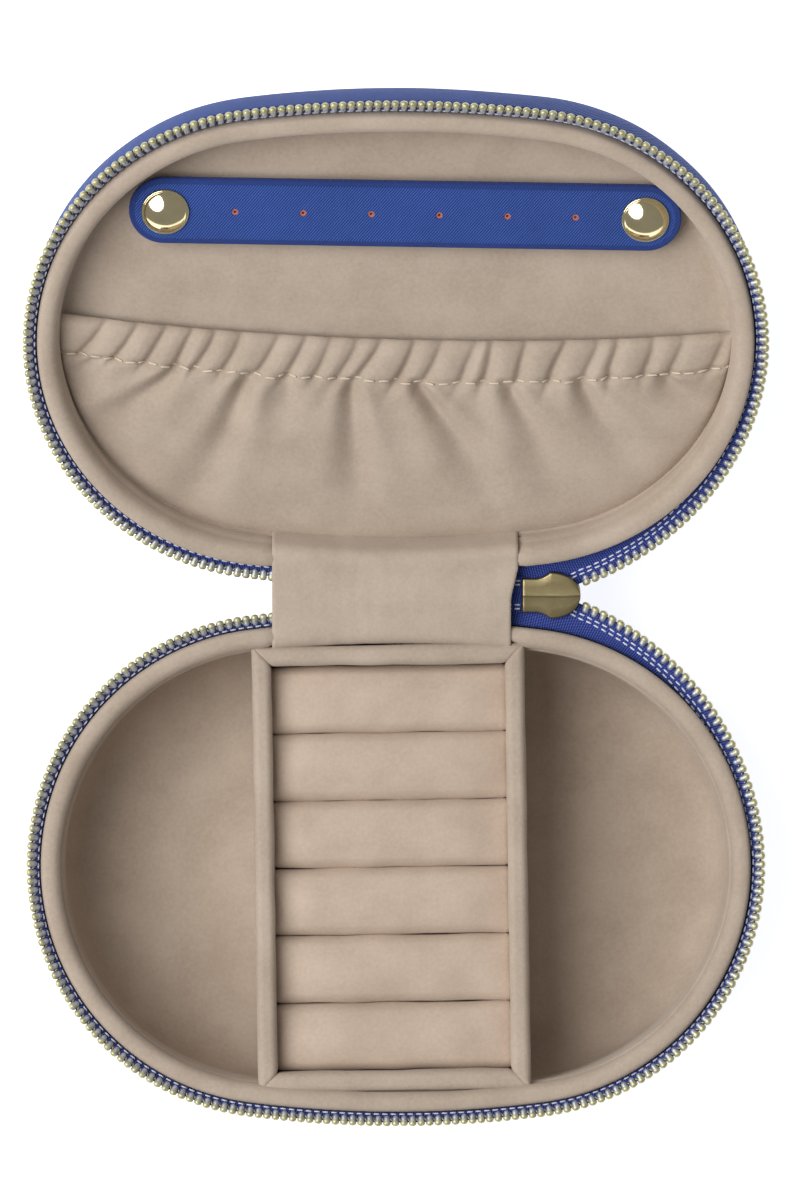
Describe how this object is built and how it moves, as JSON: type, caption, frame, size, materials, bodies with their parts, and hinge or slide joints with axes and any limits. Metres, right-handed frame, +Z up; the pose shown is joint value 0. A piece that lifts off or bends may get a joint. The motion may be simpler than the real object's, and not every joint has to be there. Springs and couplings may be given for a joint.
{
  "type": "travel jewelry case",
  "caption": "Oval zip-round travel jewelry case standing open: padded tray with a ring-roll box and two bays, and a lid with a gathered pocket and an earring strap that is held by two snaps.",
  "frame": {"origin": "centre of the underside of the tray, which is the face the case stands on", "axes": "+Z up out of the open tray, +Y from the tray's front to the hinge and the open lid, +X along the tray's length to the side with the zip slider"},
  "size_m": [0.1648, 0.2301, 0.0865],
  "materials": {
    "cover_cloth": "fine blue cloth",
    "zip_tape": "woven navy tape with white stitching",
    "zip_coil": "metallised silver and pale gold",
    "zip_metal": "polished pale gold plate",
    "snap_metal": "polished pale gold plate",
    "lining_cloth": "beige brushed suede cloth on thin foam",
    "roll_cloth": "beige brushed suede cloth on foam rolls",
    "strap_cloth": "blue twill on a stiffener",
    "elastic": "woven elastic",
    "board": "grey board"
  },
  "bodies": {
    "tray": {"tray_wall_cover": "cover_cloth", "tray_outer_panel": "cover_cloth", "tray_wall_board": "board", "tray_floor_board": "board", "tray_rim_lining": "lining_cloth", "tray_floor_lining": "lining_cloth", "tray_zip_tape": "zip_tape", "tray_zip_coil": "zip_coil", "ring_box_left_wall": "lining_cloth", "ring_box_right_wall": "lining_cloth", "ring_box_rear_wall": "lining_cloth", "ring_box_front_wall": "lining_cloth", "ring_roll_base": "roll_cloth", "ring_roll_1": "roll_cloth", "ring_roll_2": "roll_cloth", "ring_roll_3": "roll_cloth", "ring_roll_4": "roll_cloth", "ring_roll_5": "roll_cloth", "ring_roll_6": "roll_cloth"},
    "hinge": {"hinge_cloth": "cover_cloth", "hinge_strap": "lining_cloth", "zip_closed_end": "zip_tape"},
    "lid": {"lid_wall_cover": "cover_cloth", "lid_outer_panel": "cover_cloth", "lid_wall_board": "board", "lid_floor_board": "board", "lid_rim_lining": "lining_cloth", "lid_floor_lining": "lining_cloth", "lid_zip_tape": "zip_tape", "lid_zip_coil": "zip_coil", "lid_pocket": "lining_cloth", "pocket_elastic": "elastic", "snap_studs": "snap_metal"},
    "slider": {"zip_slider": "zip_metal"},
    "puller": {"zip_puller": "zip_metal"},
    "strap": {"earring_strap": "strap_cloth", "snap_caps": "snap_metal", "snap_sockets": "snap_metal"}
  },
  "joints": [
    {"name": "tray_hinge", "type": "hinge", "parent": "tray", "child": "hinge", "pos_m": [0, 0.0565, 0.0343], "axis": [-1, 0, 0], "range_deg": [-78, 0], "deforming": ["hinge_strap"]},
    {"name": "lid_hinge", "type": "hinge", "parent": "hinge", "child": "lid", "pos_m": [0, 0.06501, 0.03611], "axis": [-1, 0, 0], "range_deg": [-82, 0]},
    {"name": "slider_slide", "type": "slide", "parent": "hinge", "child": "slider", "axis": [1, 0, 0], "range_m": [0, 0.005]},
    {"name": "puller_swing", "type": "hinge", "parent": "slider", "child": "puller", "pos_m": [0.0347, 0.06171, 0.0307], "axis": [0, 0.9781, 0.2079], "range_deg": [-85, 85]},
    {"name": "strap_lift", "type": "slide", "parent": "lid", "child": "strap", "axis": [0, -0.4067, 0.9135], "range_m": [0, 0.008]}
  ],
  "couplings": [
    {"joint": "lid_hinge", "follows": "tray_hinge", "ratio": 1}
  ]
}
